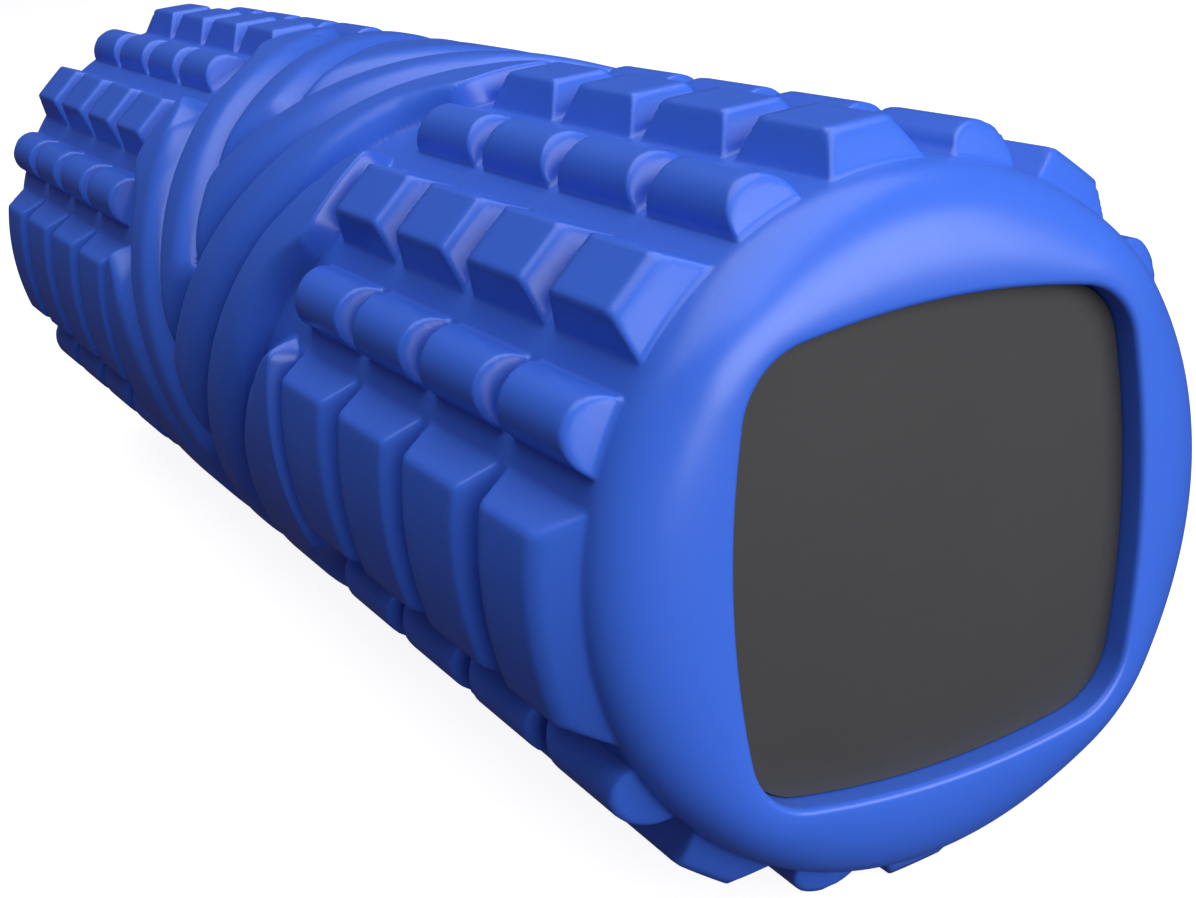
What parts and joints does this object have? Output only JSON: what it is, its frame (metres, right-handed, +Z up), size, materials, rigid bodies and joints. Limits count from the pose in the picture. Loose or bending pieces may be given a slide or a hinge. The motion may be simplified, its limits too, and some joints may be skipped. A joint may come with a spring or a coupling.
{
  "type": "foam roller",
  "caption": "Massage foam roller with moulded blocks and a braided middle band, rounded end rims, a hollow storage core and a pull-out square cap in each end.",
  "frame": {"origin": "on the floor under the middle of the roller, which lies on the flat tops of its lowest row of blocks", "axes": "+X along the roller towards the near end, +Z up"},
  "size_m": [0.454, 0.1524, 0.1528],
  "materials": {
    "foam": "smooth satin moulded EVA foam",
    "core": "extruded ABS",
    "socket": "moulded ABS",
    "cap": "fine satin moulded ABS",
    "gasket": "soft elastomer"
  },
  "bodies": {
    "roller": {"foam_sleeve": "foam", "core_tube": "core", "near_end_socket": "socket", "far_end_socket": "socket"},
    "near_cap": {"near_end_cap": "cap", "near_cap_gasket": "gasket"},
    "far_cap": {"far_end_cap": "cap", "far_cap_gasket": "gasket"}
  },
  "joints": [
    {"name": "near_cap_pull", "type": "slide", "parent": "roller", "child": "near_cap", "axis": [1, 0, 0], "range_m": [0, 0.06]},
    {"name": "far_cap_pull", "type": "slide", "parent": "roller", "child": "far_cap", "axis": [-1, 0, 0], "range_m": [0, 0.06]}
  ]
}
